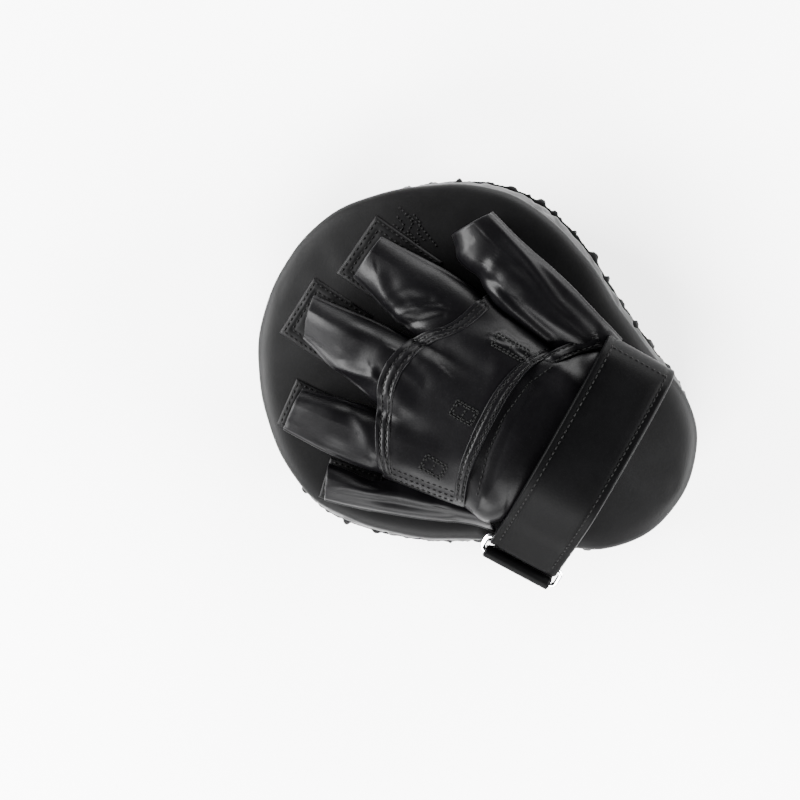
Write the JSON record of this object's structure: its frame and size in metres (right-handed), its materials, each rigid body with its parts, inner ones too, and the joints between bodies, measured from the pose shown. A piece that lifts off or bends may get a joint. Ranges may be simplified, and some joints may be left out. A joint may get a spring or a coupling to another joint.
{
  "type": "boxing focus mitt",
  "caption": "Curved padded striking mitt with open finger stalls, thumb stall, cuff and wrist strap through a metal ring.",
  "frame": {"origin": "middle of the bottom of the box, where the mitt lies on its striking face", "axes": "+Y to the fingertips, +X to the thumb side, +Z out of the back of the hand"},
  "size_m": [0.2072, 0.2514, 0.1009],
  "materials": {
    "pad_leather": "smooth black synthetic leather, satin",
    "seam_leather": "gathered black synthetic leather",
    "glove_leather": "supple black synthetic leather, soft gloss",
    "strap_leather": "smooth black synthetic leather, sewn double",
    "ring_metal": "bright plated wire"
  },
  "bodies": {
    "root": {"front_panel": "pad_leather", "front_seam": "seam_leather", "side_band": "pad_leather", "back_panel": "pad_leather", "patch_index": "pad_leather", "patch_middle": "pad_leather", "patch_ring": "pad_leather", "patch_pinky": "pad_leather", "stall_index": "glove_leather", "stall_middle": "glove_leather", "stall_ring": "glove_leather", "stall_pinky": "glove_leather", "stall_thumb": "glove_leather", "hand_panel": "glove_leather", "knuckle_band": "glove_leather", "hand_seam": "glove_leather", "cuff_panel": "glove_leather", "wrist_strap": "strap_leather", "ring_tab": "strap_leather", "strap_ring": "ring_metal"}
  },
  "joints": []
}
